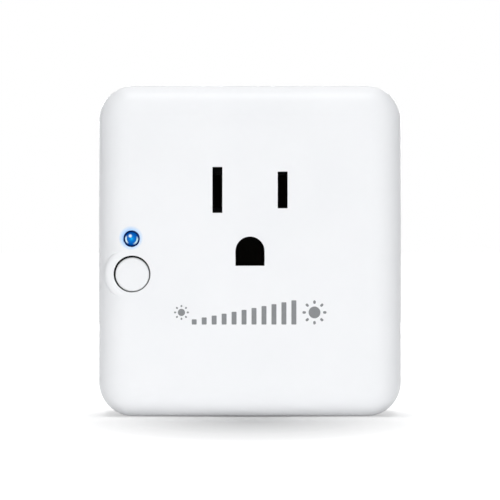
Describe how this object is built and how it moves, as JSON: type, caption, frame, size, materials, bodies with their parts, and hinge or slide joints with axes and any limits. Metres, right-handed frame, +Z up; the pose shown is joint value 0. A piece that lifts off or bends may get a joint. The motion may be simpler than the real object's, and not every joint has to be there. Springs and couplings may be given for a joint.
{
  "type": "plug in dimmer",
  "caption": "White plug-in lamp dimmer: rounded box with a grounded receptacle, push button and blue light on its face, and a grounded plug on its back.",
  "frame": {"origin": "the ground pin's axis, where it leaves the back face", "axes": "+Y out of the back along the plug's blades, -Y out of the front face, +Z up, +X to the right of the front face"},
  "size_m": [0.0592, 0.0556, 0.0646],
  "materials": {
    "white_shell": "satin moulded ABS",
    "white_button": "satin moulded ABS",
    "blue_lens": "clear tinted epoxy, lit",
    "white_nylon": "natural nylon",
    "circuit_board": "solder mask over glass laminate",
    "black_plastic": "moulded black",
    "black_insulator": "moulded black thermoset",
    "black_epoxy": "moulded epoxy",
    "contact_brass": "stamped spring brass",
    "blade_brass": "stamped and turned brass, lightly brushed",
    "zinc_screw": "zinc plated",
    "tinned_wire": "tinned",
    "tinned_steel": "tin plated",
    "fuse_ceramic": "unglazed white ceramic",
    "varistor_blue": "dipped epoxy",
    "film_yellow": "moulded box",
    "can_sleeve": "shrink sleeve",
    "powder_iron": "painted powder ring",
    "enamelled_copper": "enamelled wire",
    "ferrite": "sintered ferrite",
    "coil_tape": "polyester tape",
    "heatsink_aluminium": "extruded"
  },
  "bodies": {
    "housing": {"front_cover": "white_shell", "rear_cover": "white_shell", "status_led": "blue_lens", "led_leads": "tinned_wire", "led_spacer": "white_nylon", "control_board": "circuit_board", "power_board": "circuit_board", "switch_body": "black_plastic", "radio_shield": "tinned_steel", "radio_chip": "black_epoxy", "controller_chip": "black_epoxy", "header_body": "black_plastic", "header_pins": "contact_brass", "contact_carrier": "black_insulator", "carrier_back": "black_insulator", "blade_retainer": "black_insulator", "neutral_contact": "contact_brass", "line_contact": "contact_brass", "ground_contact": "contact_brass", "neutral_blade": "blade_brass", "line_blade": "blade_brass", "ground_pin": "blade_brass", "case_screws": "zinc_screw", "board_screws": "zinc_screw", "carrier_screws": "zinc_screw", "carrier_back_screws": "zinc_screw", "retainer_screws": "zinc_screw", "control_board_screws": "zinc_screw", "triac_screw": "zinc_screw", "component_leads": "tinned_wire", "fuse_body": "fuse_ceramic", "fuse_caps": "tinned_steel", "varistor": "varistor_blue", "film_capacitor": "film_yellow", "electrolytic_capacitor": "can_sleeve", "choke_core": "powder_iron", "choke_winding": "enamelled_copper", "transformer_core": "ferrite", "transformer_coil": "coil_tape", "bridge_rectifier": "black_epoxy", "triac_body": "black_epoxy", "triac_tab": "tinned_steel", "heatsink": "heatsink_aluminium"},
    "button": {"button_cap": "white_button"},
    "plunger": {"switch_plunger": "black_plastic"}
  },
  "joints": [
    {"name": "button_press", "type": "slide", "parent": "housing", "child": "button", "axis": [0, 1, 0], "range_m": [0, 0.00035], "stiffness_N_per_m": 1500, "springref_m": -0.0002},
    {"name": "plunger_press", "type": "slide", "parent": "housing", "child": "plunger", "axis": [0, 1, 0], "range_m": [0, 0.00035]}
  ],
  "couplings": [
    {"joint": "plunger_press", "follows": "button_press", "ratio": 1}
  ]
}
